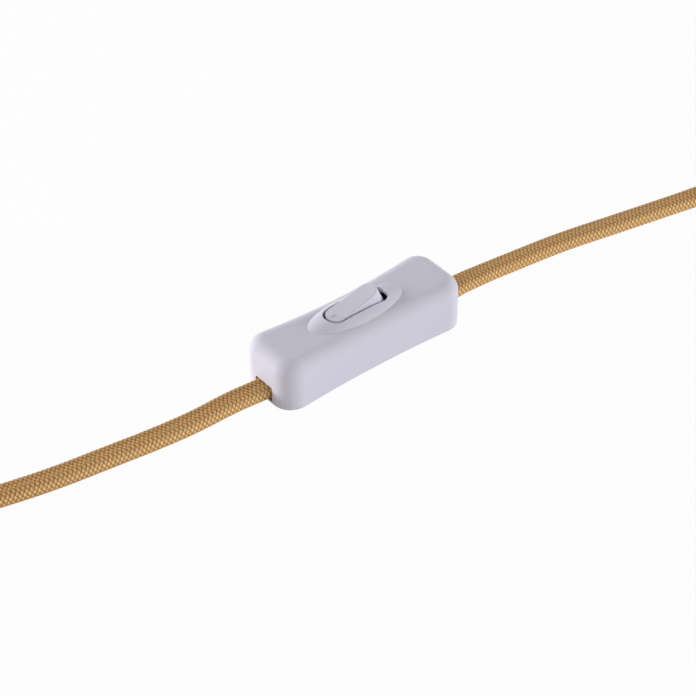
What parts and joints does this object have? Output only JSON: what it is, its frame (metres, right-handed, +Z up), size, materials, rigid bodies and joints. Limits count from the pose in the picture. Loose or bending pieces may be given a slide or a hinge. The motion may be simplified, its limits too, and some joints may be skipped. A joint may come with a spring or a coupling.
{
  "type": "inline cord switch",
  "caption": "Inline rocker switch on a flat textile-covered cord: long white case with a waisted plan and dipped top, oval rim round the rocker, plug at one end.",
  "frame": {"origin": "centre of the case's underside, where it lies on a table", "axes": "+Z up, +X along the case towards the lamp's end of the cord, +Y towards the case's far long side"},
  "size_m": [0.558, 0.0446, 0.0194],
  "materials": {
    "housing_plastic": "smooth satin moulding, white with a cool cast",
    "rocker_plastic": "smooth satin moulding, white with a cool cast",
    "plunger_plastic": "natural moulding",
    "clamp_plastic": "satin moulding",
    "plug_plastic": "satin moulding",
    "brass": "pressed, plain",
    "contact_metal": "turned, bright",
    "spring_steel": "drawn wire",
    "screw_steel": "zinc plated",
    "copper": "bare stranded copper",
    "brown_insulation": "extruded",
    "blue_insulation": "extruded",
    "cord_textile": "fine diagonal braid, gold and tan",
    "tie_fabric": "woven hook-and-loop band",
    "pin_nickel": "nickel plated",
    "ferrule_tin": "tinned"
  },
  "bodies": {
    "switch": {"upper_housing": "housing_plastic", "base_lid": "housing_plastic", "common_terminal": "brass", "fixed_terminal": "brass", "fixed_contact": "contact_metal", "neutral_link": "brass", "terminal_screws": "screw_steel", "housing_screws": "screw_steel", "clamp_screws": "screw_steel", "plug_side_clamp": "clamp_plastic", "lamp_side_clamp": "clamp_plastic", "plug_side_live_wire": "brown_insulation", "lamp_side_live_wire": "brown_insulation", "plug_side_neutral_wire": "blue_insulation", "lamp_side_neutral_wire": "blue_insulation", "wire_cores": "copper", "plug_cord": "cord_textile", "plug_hank": "cord_textile", "plug_tail": "cord_textile", "lamp_cord": "cord_textile", "lamp_hank": "cord_textile", "plug_hank_tie": "tie_fabric", "lamp_hank_tie": "tie_fabric", "plug_body": "plug_plastic", "plug_pins": "pin_nickel", "lamp_end_live_wire": "brown_insulation", "lamp_end_neutral_wire": "blue_insulation", "lamp_end_ferrules": "ferrule_tin"},
    "rocker": {"rocker": "rocker_plastic", "plunger_spring": "spring_steel"},
    "plunger": {"plunger": "plunger_plastic"},
    "seesaw": {"seesaw_contact": "brass", "moving_contact": "contact_metal"}
  },
  "joints": [
    {"name": "rocker_hinge", "type": "hinge", "parent": "switch", "child": "rocker", "pos_m": [0, 0, 0.0114], "axis": [0, 1, 0], "range_deg": [0, 26]},
    {"name": "plunger_slide", "type": "slide", "parent": "rocker", "child": "plunger", "axis": [-0.225, 0, 0.9744], "range_m": [0, 0.0006], "stiffness_N_per_m": 200, "springref_m": -0.002, "deforming": ["plunger_spring"]},
    {"name": "seesaw_hinge", "type": "hinge", "parent": "switch", "child": "seesaw", "pos_m": [0, 0, 0.0052], "axis": [0, 1, 0], "range_deg": [-20, 0]}
  ],
  "couplings": [
    {"joint": "seesaw_hinge", "follows": "rocker_hinge", "ratio": -0.76923}
  ]
}
